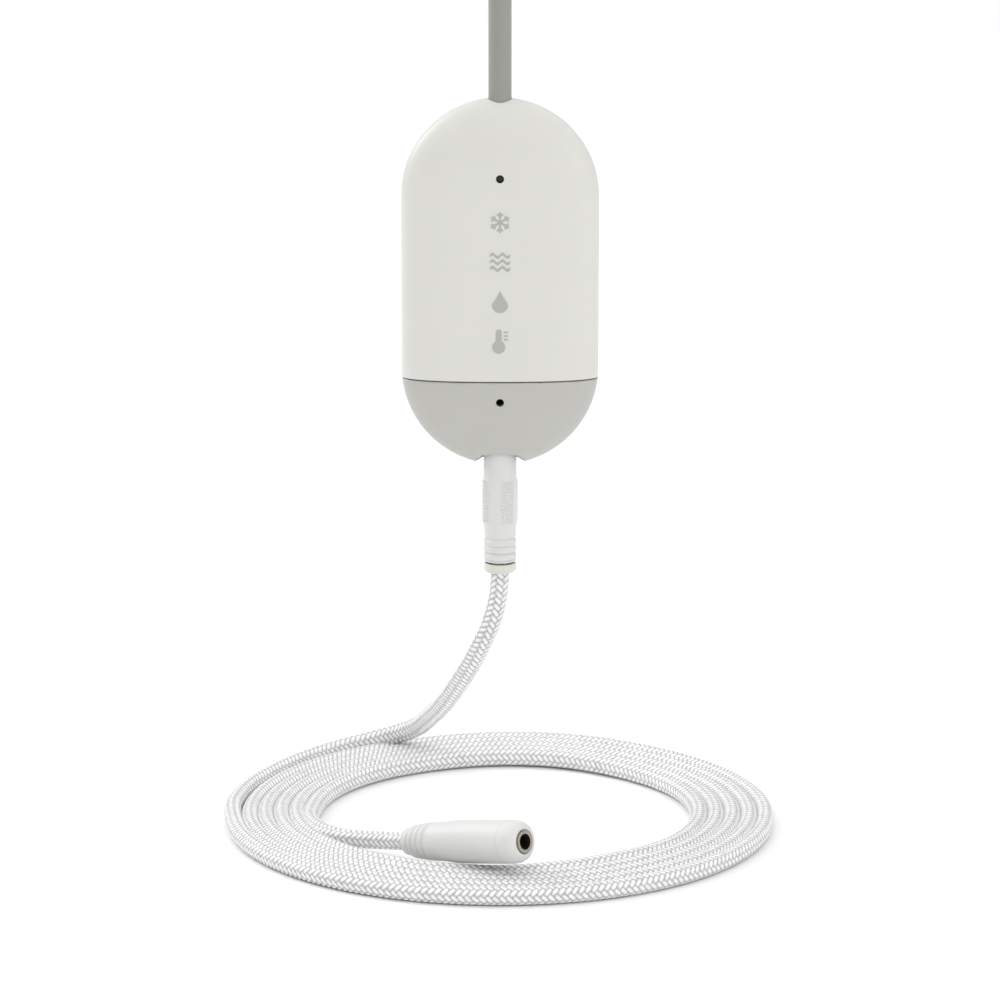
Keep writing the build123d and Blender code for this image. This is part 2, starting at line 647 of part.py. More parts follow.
groove_places = (END - 7.5, END - 11.5)
for low in groove_places:
    carrier -= rod(CONTACT_R, low, low + 1.4)
parts["socket_insulator"] = place_socket(carrier)
contact_bore = rod(BORE_R + 0.02, END - 14, END)
parts["socket_contacts"] = [
    place_socket(rod(CONTACT_R - 0.03, low + 0.03, low + 1.37) - contact_bore)
    for low in groove_places
]

# ---- write one file for each node ----------------------------------------------------------
os.makedirs("parts", exist_ok=True)
for name, shape in parts.items():
    solids = shape if isinstance(shape, list) else [shape]
    solids = [solid for piece in solids for solid in piece.solids()]
    whole = solids[0] if len(solids) == 1 else Compound(children=solids)
    whole.label = name
    export_step(whole, os.path.join("parts", name + ".step"))
print(len(parts), "nodes; floor at", round(FLOOR, 2), "seam at", round(SEAM, 2))
print("socket axis", [round(v, 4) for v in socket_axis], "length", round(SOCKET_LENGTH, 2))
print("status light z", round(LIGHT_Z, 2), "port z", round(PORT_Z, 2))
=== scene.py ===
import itertools
import math
import bmesh
import bpy
import numpy as np
from mathutils import Matrix, Vector


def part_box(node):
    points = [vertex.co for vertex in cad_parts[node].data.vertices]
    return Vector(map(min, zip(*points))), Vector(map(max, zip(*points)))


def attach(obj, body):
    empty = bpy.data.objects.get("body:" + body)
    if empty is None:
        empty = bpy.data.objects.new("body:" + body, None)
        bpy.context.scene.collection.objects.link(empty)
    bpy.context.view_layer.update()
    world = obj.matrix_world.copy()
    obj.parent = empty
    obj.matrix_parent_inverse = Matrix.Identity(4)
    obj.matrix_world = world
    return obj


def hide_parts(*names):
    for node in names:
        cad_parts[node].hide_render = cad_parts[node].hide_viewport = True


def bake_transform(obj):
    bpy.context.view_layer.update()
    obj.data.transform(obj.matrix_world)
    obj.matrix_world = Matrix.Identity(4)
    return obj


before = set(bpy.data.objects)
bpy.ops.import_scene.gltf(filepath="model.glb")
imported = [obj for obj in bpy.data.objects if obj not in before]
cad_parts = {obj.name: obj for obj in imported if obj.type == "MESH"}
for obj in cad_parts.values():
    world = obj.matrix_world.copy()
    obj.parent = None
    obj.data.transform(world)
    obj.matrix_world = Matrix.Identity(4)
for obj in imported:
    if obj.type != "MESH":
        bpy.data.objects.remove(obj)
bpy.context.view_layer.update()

# ---- circuit board -------------------------------------------------------------------------
# A glass-epoxy laminate under green solder mask, routed to shape. It stands between the
# bosses of the two shells. The mask is glossy and lies over a faint relief of copper tracks.


def paint(code):
    """An sRGB hex colour as the linear one that a shader takes."""
    steps = [int(code[place:place + 2], 16) / 255 for place in (1, 3, 5)]
    return [s / 12.92 if s <= 0.04045 else ((s + 0.055) / 1.055) ** 2.4 for s in steps] + [1.0]


def add(material, kind, sockets=(), **settings):
    """Adds a node with its settings, and gives each socket a value or a link."""
    node = material.node_tree.nodes.new(kind)
    for name, value in settings.items():
        setattr(node, name, value)
    for name, value in dict(sockets).items():
        if isinstance(value, bpy.types.NodeSocket):
            material.node_tree.links.new(value, node.inputs[name])
        else:
            node.inputs[name].default_value = value
    return node


def shaded(name, sockets):
    """A material whose shader's sockets are given values or links made by a function of it."""
    material = bpy.data.materials.new(name)
    material.use_nodes = True
    shader = material.node_tree.nodes["Principled BSDF"]
    for socket, value in sockets(material).items():
        if isinstance(value, bpy.types.NodeSocket):
            material.node_tree.links.new(value, shader.inputs[socket])
        else:
            shader.inputs[socket].default_value = value
    return material


def coat(material, *nodes):
    """Gives these parts their finish and leaves their shapes as they are."""
    for name in nodes:
        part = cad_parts[name]
        part.data.materials.clear()
        part.data.materials.append(material)


MM = 0.001
TRACK_WIDE, TRACK_PITCH, TRACK_LONG = 0.22 * MM, 0.9 * MM, 3.1 * MM
FOIL = 0.03 * MM


def masked_laminate(mask):
    """Tracks a little lighter than the board between them, and gloss in clouds 2 mm wide."""
    flat = add(mask, "ShaderNodeMapping", {
        "Vector": add(mask, "ShaderNodeTexCoord").outputs["Object"],
        "Rotation": (math.radians(90), 0, 0),
    }).outputs[0]
    tracks = add(mask, "ShaderNodeTexBrick", {
        "Vector": flat, "Scale": 1.0, "Brick Width": TRACK_LONG, "Row Height": TRACK_PITCH,
        "Mortar Size": TRACK_WIDE,
    }).outputs["Fac"]
    cloud = add(mask, "ShaderNodeTexNoise", {"Vector": flat, "Scale": 1 / (2 * MM)}).outputs[0]
    return {
        "Base Color": add(mask, "ShaderNodeMix", {
            0: tracks, 6: paint("#0E4A27"), 7: paint("#1D6A3A"),
        }, data_type="RGBA").outputs[2],
        "Roughness": add(mask, "ShaderNodeMapRange", {
            "Value": cloud, "To Min": 0.25, "To Max": 0.4,
        }).outputs[0],
        "Normal": add(mask, "ShaderNodeBump", {"Height": tracks, "Distance": FOIL}).outputs[0],
        "Coat Weight": 0.4,
    }


coat(shaded("green_solder_mask", masked_laminate), "circuit_board")

# ---- chips, passives and diode -------------------------------------------------------------
# Black epoxy packages moulded with a fine matt skin, tan ceramic chip capacitors, and a
# diode cast in cloudy clear resin, all soldered to the board's front.


def surface(name, colours, roughs, drift, grain, depth, stretch=(1, 1, 1), **constants):
    """A finish made of three noises on the piece's own coordinates, sizes in millimetres.

    The colour drifts over the width drift, the gloss over the width of three grains, and the
    relief is one grain wide and depth deep. Underscores in a constant stand for spaces.
    """
    def sockets(material):
        place = add(material, "ShaderNodeMapping", {
            "Vector": add(material, "ShaderNodeTexCoord").outputs["Object"], "Scale": stretch,
        }).outputs[0]
        clouds = add(material, "ShaderNodeTexNoise", {
            "Vector": place, "Scale": 1 / (drift * MM),
        }).outputs[0]
        sheen = add(material, "ShaderNodeTexNoise", {
            "Vector": place, "Scale": 1 / (3 * grain * MM), "Detail": 3.0,
        }).outputs[0]
        relief = add(material, "ShaderNodeTexNoise", {
            "Vector": place, "Scale": 1 / (grain * MM),
        }).outputs[0]
        made = {socket.replace("_", " "): value for socket, value in constants.items()}
        made["Base Color"] = add(material, "ShaderNodeMix", {
            0: clouds, 6: paint(colours[0]), 7: paint(colours[1]),
        }, data_type="RGBA").outputs[2]
        made["Roughness"] = add(material, "ShaderNodeMapRange", {
            "Value": sheen, "To Min": roughs[0], "To Max": roughs[1],
        }).outputs[0]
        made["Normal"] = add(material, "ShaderNodeBump", {
            "Height": relief, "Distance": depth * MM,
        }).outputs[0]
        return made
    return shaded(name, sockets)


coat(
    surface("black_epoxy_moulding", ("#161616", "#242424"), (0.5, 0.7), 0.4, 0.1, 0.01, IOR=1.55),
    "controller_chip", "sense_amplifier", "climate_sensor",
)
coat(
    surface("fired_chip_ceramic", ("#8F7350", "#B08E62"), (0.45, 0.6), 0.5, 0.1, 0.01, IOR=1.6),
    "board_passives",
)
coat(
    surface("cloudy_diode_resin", ("#E8DFA8", "#F3EFD6"), (0.12, 0.2), 0.4, 0.2, 0.004, IOR=1.53),
    "status_led",
)

# ---- board connector and lead wires --------------------------------------------------------
# A crimp housing on its header, and the jack's body, in black nylon that is lightly glossy
# from the mould. Four stranded wires in soft red silicone, satin and a little uneven, are
# crimped into the housing.
coat(
    surface("black_nylon", ("#1B1B1C", "#29292A"), (0.35, 0.5), 1.5, 0.2, 0.01, IOR=1.53),
    "lead_crimp_housing", "board_header", "jack_body",
)
coat(
    surface("red_silicone_rubber", ("#7E1D15", "#9C2A1E"), (0.4, 0.55), 2, 0.3, 0.01, IOR=1.42),
    "lead_wires",
)

# ---- jack springs and turned contact metal -------------------------------------------------
# Springs bent from phosphor bronze strip, golden and satin from the rolls. Bushes and pins
# are turned from brass and plated with nickel: warm grey, a little uneven where the tool left
# its rings. Collars of brown acetal, smooth and waxy, keep them apart.
coat(
    surface(
        "phosphor_bronze", ("#B98F52", "#CDA566"), (0.25, 0.4), 0.8, 0.2, 0.006, Metallic=1.0
    ),
    "jack_tip_spring", "jack_ring_spring", "socket_contacts",
)
nickel = surface(
    "turned_nickel_plate", ("#A39C90", "#BEB8AC"), (0.24, 0.38), 1.2, 0.3, 0.006, Metallic=1.0
)
coat(
    nickel, "jack_bush", "plug_sleeve", "plug_ring", "plug_tip",
    "lead_plug_sleeve", "lead_plug_rings", "lead_plug_tip",
)
coat(
    surface("brown_acetal", ("#2E1F14", "#3D2B1D"), (0.3, 0.45), 1, 0.2, 0.008, IOR=1.48),
    "plug_insulator", "lead_plug_insulator", "socket_insulator",
)

# ---- air sensor behind the port ------------------------------------------------------------
# A flex of glossy amber polyimide carries the sensor round the jack. A gasket of dull black
# nitrile rubber and a black porous film, which gives back almost no light, keep water out
# while air gets in. The lead's sleeve is of the same rubber.
coat(
    surface("amber_polyimide", ("#8A5216", "#A5661F"), (0.25, 0.35), 1, 0.3, 0.006, IOR=1.7),
    "sensor_flex",
)
coat(
    surface("black_porous_film", ("#070707", "#101010"), (0.85, 1.0), 0.4, 0.05, 0.02, IOR=1.35),
    "port_membrane",
)
coat(
    surface("black_nitrile_rubber", ("#121212", "#1D1D1D"), (0.6, 0.8), 0.8, 0.2, 0.01, IOR=1.52),
    "port_gasket", "lead_sleeve",
)

# ---- lead clamp and screws -----------------------------------------------------------------
# Zinc-plated steel: a stamped bar and cross-head screws. The plating is cool grey, a little
# cloudy, with fine scratches that run up and down.
zinc = surface(
    "zinc_plated_steel", ("#9A9C9E", "#B6B8BA"), (0.28, 0.42), 1.5, 0.15, 0.006,
    stretch=(1, 1, 0.2), Metallic=1.0,
)
coat(zinc, "lead_clamp", "clamp_screws", "case_screws")

# ---- upper housing -------------------------------------------------------------------------
# Front cover and rear shell, injection moulded in warm white ABS with a fine spark-eroded
# texture, and held by screws from behind. The texture softens every highlight; the colour is
# even, a little warm.
WELD = 0.002 * MM
CREASE = math.radians(32)


def cast(name, material, body):
    """The part's own shape with its facets joined and smoothed, standing for the part."""
    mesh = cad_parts[name].data.copy()
    mesh.name = name + "_finished"
    solid = bmesh.new()
    solid.from_mesh(mesh)
    bmesh.ops.remove_doubles(solid, verts=solid.verts, dist=WELD)
    bmesh.ops.recalc_face_normals(solid, faces=solid.faces)
    solid.to_mesh(mesh)
    solid.free()
    mesh.shade_smooth()
    mesh.set_sharp_from_angle(angle=CREASE)
    mesh.materials.clear()
    mesh.materials.append(material)
    piece = bpy.data.objects.new(name + "_finished", mesh)
    bpy.context.collection.objects.link(piece)
    flat_faces = piece.modifiers.new("flat_faces", "WEIGHTED_NORMAL")
    flat_faces.keep_sharp = True
    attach(piece, body)
    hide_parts(name)
    return piece


white_abs = surface(
    "warm_white_abs", ("#DCDBD5", "#E0DFDA"), (0.34, 0.44), 12, 0.35, 0.01, IOR=1.53
)
cast("rear_shell", white_abs, "sensor")
cast("front_cover", white_abs, "sensor")

# ---- lower cap -----------------------------------------------------------------------------
# The lower end of the pod in light grey ABS, clipped under the white shells, with the recess for
# the cable's plug and the small round port. It has the shells' texture and soft gloss. A dull
# silicone cord in the seam is coloured dark grey as painted shade for the shadow in the seam's
# gap.
grey_abs = surface(
    "light_grey_abs", ("#BCBBB6", "#C1C0BB"), (0.34, 0.44), 12, 0.35, 0.01, IOR=1.53
)
cast("lower_cap", grey_abs, "sensor")
# painted shade: the seal is coloured dark grey to stand for the shadow in the seam's gap
coat(
    surface("seam_silicone_painted_shade", ("#6E6C67", "#77756F"), (0.6, 0.75), 4, 0.4, 0.01, IOR=1.42),
    "case_seal",
)

# ---- status light window -------------------------------------------------------------------
# A light pipe moulded in smoked acrylic and pressed into the front cover from inside. Its
# lightly frosted end looks nearly black while the diode behind it is off.
smoked_acrylic = surface(
    "smoked_acrylic", ("#030303", "#070707"), (0.3, 0.4), 0.6, 0.4, 0.003, IOR=1.49
)
cast("light_pipe", smoked_acrylic, "sensor")

# ---- printed pictograms --------------------------------------------------------------------
# Pad-printed in grey ink down the middle of the front: snowflake, waves, drop and
# thermometer, saying that the sensor feels freezing, water and temperature. The ink dries
# matt, in a film about a hundredth of a millimetre thick.
FRONT_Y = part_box("front_cover")[0][1]
FILM, FILM_STEP = 0.01 * MM, 0.015 * MM
FILM_STEPS = 4

grey_ink = surface(
    "matt_grey_ink", ("#B1B2AD", "#B7B8B3"), (0.55, 0.7), 0.6, 0.2, 0.004, IOR=1.5
)
print_film = bmesh.new()
shapes_laid = itertools.count(1)


def lay_down(verts, x, z, turn=0.0):
    """Moves a flat shape, drawn about the origin in X and Y, to its place on the front.

    Each shape lies at another depth than the last, so that where two overlap one is in front.
    """
    depth = FRONT_Y - FILM_STEP * (1 + next(shapes_laid) % FILM_STEPS)
    turned = Matrix.Rotation(math.radians(turn), 3, "Z")
    for vert in verts:
        flat = turned @ vert.co
        vert.co = Vector((x + flat.x, depth, z + flat.y))


def disc(radius, x, z, stretch=1.0, point=0.0):
    """A filled circle, whose upper half can be stretched and drawn in to a point."""
    made = bmesh.ops.create_circle(print_film, cap_ends=True, segments=40, radius=radius)
    for vert in made["verts"]:
        rise = max(vert.co.y / radius, 0.0)
        vert.co.x *= 1 - point * rise ** 1.6
        vert.co.y *= 1 + (stretch - 1) * rise
    lay_down(made["verts"], x, z)


def bar(length, width, x, z, turn):
    """A straight stroke about its middle."""
    made = bmesh.ops.create_grid(print_film, x_segments=1, y_segments=1, size=0.5)
    for vert in made["verts"]:
        vert.co.x *= length
        vert.co.y *= width
    lay_down(made["verts"], x, z, turn)


# snowflake: six arms, each with two branches that lean away from it
SNOW_Z = -85.6 * MM
ARM_LONG, ARM_WIDE, ARM_OUT = 2.3 * MM, 0.5 * MM, 1.2 * MM
BRANCH_LONG, BRANCH_WIDE, BRANCH_FROM, BRANCH_OUT = 0.95 * MM, 0.42 * MM, 1.35 * MM, 0.42 * MM
for arm in range(6):
    toward = 90 + 60 * arm
    away = Matrix.Rotation(math.radians(toward), 2) @ Vector((1, 0))
    bar(ARM_LONG, ARM_WIDE, ARM_OUT * away.x, SNOW_Z + ARM_OUT * away.y, toward)
    for lean in (-50, 50):
        aside = Matrix.Rotation(math.radians(toward + lean), 2) @ Vector((1, 0))
        middle = BRANCH_FROM * away + BRANCH_OUT * aside
        bar(BRANCH_LONG, BRANCH_WIDE, middle.x, SNOW_Z + middle.y, toward + lean)

# waves: three rows of two crests
WAVES_Z, WAVE_ROW = -94.7 * MM, 1.5 * MM
WAVE_LONG, WAVE_WIDE, WAVE_HIGH, WAVE_PITCH = 4.6 * MM, 0.72 * MM, 0.38 * MM, 2.262 * MM
for row in (-1, 0, 1):
    made = bmesh.ops.create_grid(print_film, x_segments=28, y_segments=1, size=0.5)
    for vert in made["verts"]:
        vert.co.x *= WAVE_LONG
        crest = WAVE_HIGH * math.sin(math.tau * vert.co.x / WAVE_PITCH)
        vert.co.y = vert.co.y * WAVE_WIDE + crest
    lay_down(made["verts"], 0, WAVES_Z + row * WAVE_ROW)

# drop
DROP_Z = -103.9 * MM
disc(1.85 * MM, 0, DROP_Z - 0.7 * MM, stretch=1.85, point=0.96)

# thermometer: bulb, rounded top, stem, and three marks beside it
THERMO_X, THERMO_Z = -0.3 * MM, -113.0 * MM
MARK_X, MARK_STEP = 1.35 * MM, 0.85 * MM
disc(1.5 * MM, THERMO_X, THERMO_Z - 1.35 * MM)
disc(0.7 * MM, THERMO_X, THERMO_Z + 2.1 * MM)
bar(3.6 * MM, 1.4 * MM, THERMO_X, THERMO_Z + 0.3 * MM, 90)
for mark in range(3):
    bar(1.0 * MM, 0.4 * MM, MARK_X, THERMO_Z + 0.4 * MM + mark * MARK_STEP, 0)

bmesh.ops.recalc_face_normals(print_film, faces=print_film.faces)
for face in print_film.faces:
    if face.normal.y > 0:
        face.normal_flip()
ink_mesh = bpy.data.meshes.new("pictograms")
print_film.to_mesh(ink_mesh)
print_film.free()
ink_mesh.materials.append(grey_ink)
pictograms = bpy.data.objects.new("pictograms", ink_mesh)
bpy.context.collection.objects.link(pictograms)
film = pictograms.modifiers.new("film", "SOLIDIFY")
film.thickness = FILM
film.offset = -1
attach(pictograms, "sensor")

# ---- supply lead and its plug --------------------------------------------------------------
# A round four-core lead in grey thermoplastic rubber, held taut from above by its moulded
# plug. The jacket is satin, with faint lines drawn along it by the extruder; the plug is of
# the same rubber from a textured mould, and duller.
LEAD_D = 5.3 * MM
lead_rubber = surface(
    "grey_jacket_rubber", ("#94958D", "#9C9D95"), (0.32, 0.42), 3, 0.4, 0.01,
    stretch=(1, 1, 0.05), IOR=1.5,
)


def cord_line(name, kind, places, smoothness, radius=0.0):
    """A curve led by these places, with a tube round it where it has a radius."""
    curve = bpy.data.curves.new(name, "CURVE")
    curve.dimensions = "3D"
    curve.resolution_u = smoothness
    curve.bevel_depth = radius
    curve.bevel_resolution = 10
    line = curve.splines.new(kind)
    line.points.add(len(places) - 1)
    for point, place in zip(line.points, places):
        point.co = (*place, 1)
    line.order_u = 3
    line.use_endpoint_u = True
    return curve


lead_low, lead_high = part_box("supply_lead")
lead_curve = cord_line(
    "supply_lead", "NURBS",
    [(0, 0, lead_low[2] + (lead_high[2] - lead_low[2]) * third / 3) for third in range(4)],
    smoothness=8, radius=LEAD_D / 2,
)
lead_curve.use_fill_caps = True
lead_curve.materials.append(lead_rubber)
supply_lead = bpy.data.objects.new("supply_lead_jacket", lead_curve)
bpy.context.collection.objects.link(supply_lead)
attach(supply_lead, "sensor")
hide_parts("supply_lead")

plug_grey = surface(
    "grey_plug_rubber", ("#94958E", "#9A9B94"), (0.45, 0.6), 12, 0.4, 0.01, IOR=1.5
)
lead_plug = cast("lead_plug_moulding", plug_grey, "sensor")

# ---- plug of the sensing cable -------------------------------------------------------------
# White thermoplastic rubber moulded over the pin: a neck, four knurled grip pads round it,
# and shallow grooves between ribs that let its lower end flex. Semi-gloss, a little cool. A
# steel sleeve crimped on under it shows as a dark line above a collar of matt ivory nylon.
FLOOR_Z = -230.0 * MM
white_rubber = surface(
    "white_plug_rubber", ("#DCDCDA", "#E1E1DF"), (0.40, 0.50), 12, 0.5, 0.01, IOR=1.5
)

# the neck's outline, as radius and height over the floor in millimetres, turned about the pin
plug = bmesh.new()
neck = [
    (0.0, 91.6), (3.53, 91.6), (3.83, 91.3), (3.83, 84.3), (3.93, 83.3), (3.95, 72.9),
    (3.74, 71.4),
]
for rib in (68.4, 66.65, 65.0):
    neck += [
        (3.72, rib + 1.3), (3.44, rib + 0.95), (3.72, rib + 0.62), (3.86, rib), (3.72, rib - 0.5),
    ]
neck += [(3.46, 64.2), (3.7, 64.05), (3.66, 63.82), (2.9, 63.8), (0.0, 63.8)]
rim = [plug.verts.new((radius * MM, 0, FLOOR_Z + height * MM)) for radius, height in neck]
edges = [plug.edges.new(pair) for pair in zip(rim, rim[1:])]
bmesh.ops.spin(
    plug, geom=rim + edges, cent=(0, 0, 0), axis=(0, 0, 1), angle=math.tau, steps=72,
    use_merge=True,
)
bmesh.ops.remove_doubles(plug, verts=plug.verts, dist=WELD)
bmesh.ops.recalc_face_normals(plug, faces=plug.faces)

# the four pads: pyramids between crossed grooves, sunk into the neck at each pad's edges
KNURL_PITCH, KNURL_DEPTH, KNURL_R, KNURL_STEEP = 0.92 * MM, 0.26 * MM, 4.1 * MM, 1.3
PAD_FOOT_R, PAD_RISE, PAD_BEVEL = 3.78 * MM, 0.2 * MM, 0.2 * MM
PAD_ARC, PAD_WIDE, PAD_HIGH, PAD_MIDDLE = 50, 3.6 * MM, 10.2 * MM, 78.1 * MM
FIRST_PAD = -63
for quarter in range(4):
    pad = bmesh.ops.create_grid(plug, x_segments=44, y_segments=110, size=0.5)["verts"]
    for vert in pad:
        across, along = vert.co.x, vert.co.y
        angle = math.radians(FIRST_PAD + 90 * quarter + PAD_ARC * across)
        height = along * PAD_HIGH
        round_way = math.radians(PAD_ARC * across) * KNURL_R
        grooves = [(round_way + height) / KNURL_PITCH, (round_way - height) / KNURL_PITCH]
        ridge = min(1 - abs(2 * (groove % 1.0) - 1) for groove in grooves)
        edge = min((0.5 - abs(across)) * PAD_WIDE, (0.5 - abs(along)) * PAD_HIGH) / PAD_BEVEL
        edge = min(max(edge, 0.0), 1.0)
        radius = PAD_FOOT_R + edge * (PAD_RISE + KNURL_DEPTH * min(ridge * KNURL_STEEP, 1.0))
        vert.co = Vector((
            radius * math.cos(angle), radius * math.sin(angle), FLOOR_Z + PAD_MIDDLE + height,
        ))
plug_mesh = bpy.data.meshes.new("cable_plug_moulding")
plug.to_mesh(plug_mesh)
plug.free()
plug_mesh.shade_smooth()
plug_mesh.set_sharp_from_angle(angle=math.radians(30))
plug_mesh.materials.append(white_rubber)
cable_plug = bpy.data.objects.new("cable_plug_moulding", plug_mesh)
bpy.context.collection.objects.link(cable_plug)
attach(cable_plug, "plug")
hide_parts("plug_moulding")

cast("plug_crimp_sleeve", zinc, "plug")
ivory_nylon = surface(
    "ivory_nylon", ("#DBDAD1", "#E0DFD6"), (0.42, 0.55), 12, 0.5, 0.01, IOR=1.53
)
cast("plug_collar", ivory_nylon, "plug")

# ---- sensing cable -------------------------------------------------------------------------
# A water-sensing cable in a jacket braided from sixteen bundles of glossy white polyester
# monofilament, two over and two under. It hangs from the plug, lands behind the coil, runs five
# turns inwards and ends in the socket. Its colour turns grey in the pits between the bundles:
# painted shade.
CABLE_D = 4.8 * MM
COIL_HEIGHT = 2.14 * MM
GRIPPED_R, FREE_R, PRESSED_R = 2.25, 2.48, 2.16
BRAID_CELLS = 8
BRAID_PITCH = 1.5 * MM
BRAID_RELIEF = 0.26

# points that the hanging part bends by, in millimetres, heights over the floor
hanging = [
    (0, 0, 61.7), (0, 0, 53.4), (-5.5, 4.4, 39.5), (-12.9, 24.0, 23.0), (-17.1, 39.0, 15.2),
    (-20.4, 51.4, 8.9), (-28.4, 57.2, 4.8), (-42.0, 53.0, 2.6), (-52.8, 39.6, 2.35),
    (-61.0, 22.6, 2.2), (-63.6, 9.0, 2.15),
]
route = [Vector((x * MM, y * MM, FLOOR_Z + height * MM)) for x, y, height in hanging]


def ease(value):
    """Rises smoothly from 0 to 1."""
    value = min(max(value, 0.0), 1.0)
    return value * value * (3 - 2 * value)


# The coil, in millimetres and in degrees from its left side. A turn keeps one radius over the
# front and right, steps in over the last quarter to make room for the next, and bulges a
# little before that step. The innermost turn rises at one place at the front.
TURNS, POINTS_PER_TURN = 5, 20
LEFT_R, LEFT_STEP = 63.6, 3.72
RIGHT_R, RIGHT_STEP, RIGHT_BY = 63.5, 3.95, 60
STEP_FROM, STEP_OVER = 273, 85
BULGE_AT, BULGE_OVER, BULGE_OUT, BULGE_UP = 258, 17, 0.9, 0.3
RISE_AT, RISE_OVER, RISE_UP = 120, 16, 0.8
for count in range(TURNS * POINTS_PER_TURN + 1):
    turn = min(count // POINTS_PER_TURN, TURNS - 1)
    degrees = 360 * count / POINTS_PER_TURN - 360 * turn
    starts = LEFT_R - LEFT_STEP * turn
    keeps = RIGHT_R - RIGHT_STEP * turn
    ends = LEFT_R - LEFT_STEP * (turn + 1)
    radius = starts + (keeps - starts) * ease(degrees / RIGHT_BY)
    stepped = min(max(degrees - STEP_FROM, 0) / STEP_OVER, 1)
    radius += (ends - radius) * math.sin(math.radians(90 * stepped))
    bulge = math.exp(-((degrees - BULGE_AT) / BULGE_OVER) ** 2)
    radius += BULGE_OUT * bulge
    lift = BULGE_UP * bulge
    if turn == TURNS - 1:
        lift += RISE_UP * math.exp(-((degrees - RISE_AT) / RISE_OVER) ** 2)
    angle = math.radians(180 + degrees)
    route.append(Vector((
        radius * MM * math.cos(angle), radius * MM * math.sin(angle),
        FLOOR_Z + COIL_HEIGHT + lift * MM,
    )))

# the tail climbs off the coil's inside and runs straight into the socket's back end
socket_back = Vector((-20.9 * MM, -31.7 * MM, FLOOR_Z + 5.1 * MM))
socket_face = Vector((5.6 * MM, -54.3 * MM, FLOOR_Z + 12.0 * MM))
socket_axis = (socket_face - socket_back).normalized()
route += [
    Vector((-45.0 * MM, -8.5 * MM, FLOOR_Z + 2.2 * MM)),
    Vector((-39.4 * MM, -20.0 * MM, FLOOR_Z + 2.5 * MM)),
    socket_back - socket_axis * 7.0 * MM,
    socket_back + socket_axis * 0.5 * MM,
]


def cord_mesh(curve):
    """The mesh of a curve that isn't a piece itself."""
    holder = bpy.data.objects.new(curve.name, curve)
    mesh = bpy.data.meshes.new_from_object(holder)
    bpy.data.objects.remove(holder)
    return mesh


route_mesh = cord_mesh(cord_line("sensing_cable_route", "NURBS", route, smoothness=16))
fine = np.array([vert.co[:] for vert in route_mesh.vertices])
bpy.data.meshes.remove(route_mesh)

# the same line in even steps, three to a cell of the braid, and a plain tube round it
travelled = np.concatenate([[0], np.cumsum(np.linalg.norm(np.diff(fine, axis=0), axis=1))])
cable_length = float(travelled[-1])
rings = int(cable_length / (BRAID_PITCH / 3)) + 1
even = np.linspace(0, cable_length, rings)
centre_line = np.stack([np.interp(even, travelled, fine[:, axis]) for axis in range(3)], axis=1)
cable_mesh = cord_mesh(cord_line(
    "sensing_cable_tube", "POLY", centre_line, smoothness=12, radius=CABLE_D / 2
))
cable_mesh.name = "sensing_cable"
sides = len(cable_mesh.vertices) // rings

# Each bundle shows as a long bead over two crossings, proud in its middle and low at its ends.
# The cable is thinner where the collar grips it, and where its turns press on each other.
grid = np.array([vert.co[:] for vert in cable_mesh.vertices]).reshape(rings, sides, 3)
middle = grid.mean(axis=1, keepdims=True)
outward = grid - middle
outward /= np.linalg.norm(outward, axis=2, keepdims=True)
way_round = BRAID_CELLS * np.arange(sides)[None, :] / sides
way_along = (even / BRAID_PITCH)[:, None]
first, second = way_round + way_along, way_round - way_along
count_over = (np.floor(first) + np.floor(second)) % 4
over = count_over < 2
across = np.where(over, first, second) % 1
along = np.where(over, second % 1 + count_over, first % 1 + count_over - 2) / 2
ROUND_ACROSS, ROUND_ALONG = 0.6, 0.4
proud = np.sin(np.pi * across) ** ROUND_ACROSS * np.sin(np.pi * along) ** ROUND_ALONG
outer_r = np.interp(even / MM, [0, 30, 90, 140], [GRIPPED_R, FREE_R, FREE_R, PRESSED_R])
radius = (outer_r[:, None] + BRAID_RELIEF * proud - BRAID_RELIEF) * MM
grid = middle + outward * radius[:, :, None]
cable_mesh.vertices.foreach_set("co", grid.reshape(-1).astype(np.float32))

# its own map: cells along the cable, and cells round it
corners = np.array([loop.vertex_index for loop in cable_mesh.loops]).reshape(-1, 4)
ring_of, side_of = corners // sides, (corners % sides).astype(float)
wraps = (side_of.max(axis=1) - side_of.min(axis=1)) > sides / 2
side_of[wraps] = np.where(side_of[wraps] < 1, side_of[wraps] + sides, side_of[wraps])
braid_map = np.stack([even[ring_of] / BRAID_PITCH, BRAID_CELLS * side_of / sides], axis=2)
while cable_mesh.uv_layers:
    cable_mesh.uv_layers.remove(cable_mesh.uv_layers[0])
uv_layer = cable_mesh.uv_layers.new(name="braid")
uv_layer.data.foreach_set("uv", braid_map.reshape(-1).astype(np.float32))
solid = bmesh.new()
solid.from_mesh(cable_mesh)
bmesh.ops.holes_fill(solid, edges=[edge for edge in solid.edges if edge.is_boundary], sides=0)
bmesh.ops.recalc_face_normals(solid, faces=solid.faces)
solid.to_mesh(cable_mesh)
solid.free()
cable_mesh.shade_smooth()
